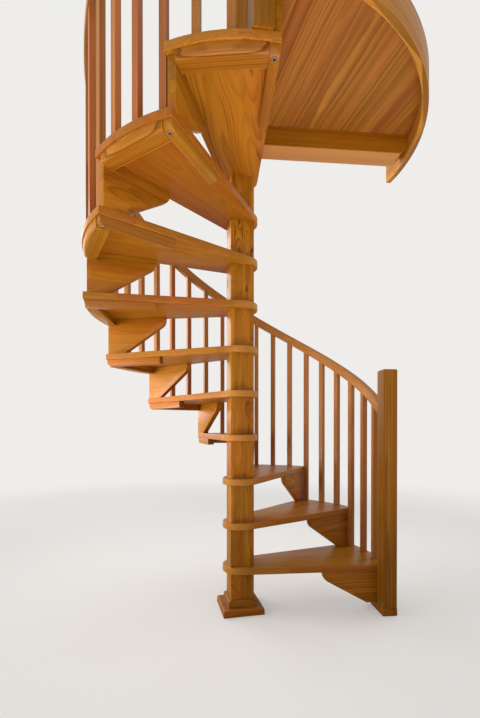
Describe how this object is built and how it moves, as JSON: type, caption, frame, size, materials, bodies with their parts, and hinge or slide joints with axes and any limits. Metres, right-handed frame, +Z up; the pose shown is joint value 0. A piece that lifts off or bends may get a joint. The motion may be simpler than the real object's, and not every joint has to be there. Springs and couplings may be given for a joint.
{
  "type": "timber spiral staircase",
  "caption": "Open timber spiral stair round a square post, with hubbed treads, bracket risers, square balusters, a helical handrail and a quarter landing.",
  "frame": {"origin": "centre of the plinth's underside, on the axis of the centre post, at floor level", "axes": "+Z up along the post; +X towards the lower newel and the nosing of the first tread, +Y towards the back of the stairwell; the flight climbs counter-clockwise seen from above"},
  "size_m": [1.699, 1.6872, 3.566],
  "materials": {
    "tread_wood": "satin clear lacquer, glued-up boards",
    "post_wood": "satin clear lacquer",
    "bracket_wood": "satin clear lacquer",
    "rail_wood": "satin clear lacquer",
    "landing_wood": "satin clear lacquer, tongued boards"
  },
  "bodies": {
    "root": {"base_plinth": "post_wood", "post_blocks": "post_wood", "tread_01": "tread_wood", "tread_02": "tread_wood", "tread_03": "tread_wood", "tread_04": "tread_wood", "tread_05": "tread_wood", "tread_06": "tread_wood", "tread_07": "tread_wood", "tread_08": "tread_wood", "tread_09": "tread_wood", "tread_10": "tread_wood", "riser_brackets": "bracket_wood", "tread_aprons": "bracket_wood", "rear_battens": "bracket_wood", "newel_foot": "post_wood", "lower_newel": "post_wood", "upper_newel": "post_wood", "short_balusters": "rail_wood", "long_balusters": "rail_wood", "handrail_1": "rail_wood", "handrail_2": "rail_wood", "handrail_3": "rail_wood", "handrail_4": "rail_wood", "landing_floor": "landing_wood", "landing_beam": "landing_wood", "landing_rim": "landing_wood", "upper_post": "post_wood", "landing_newel": "post_wood", "landing_rail": "rail_wood", "landing_balusters": "rail_wood"}
  },
  "joints": []
}
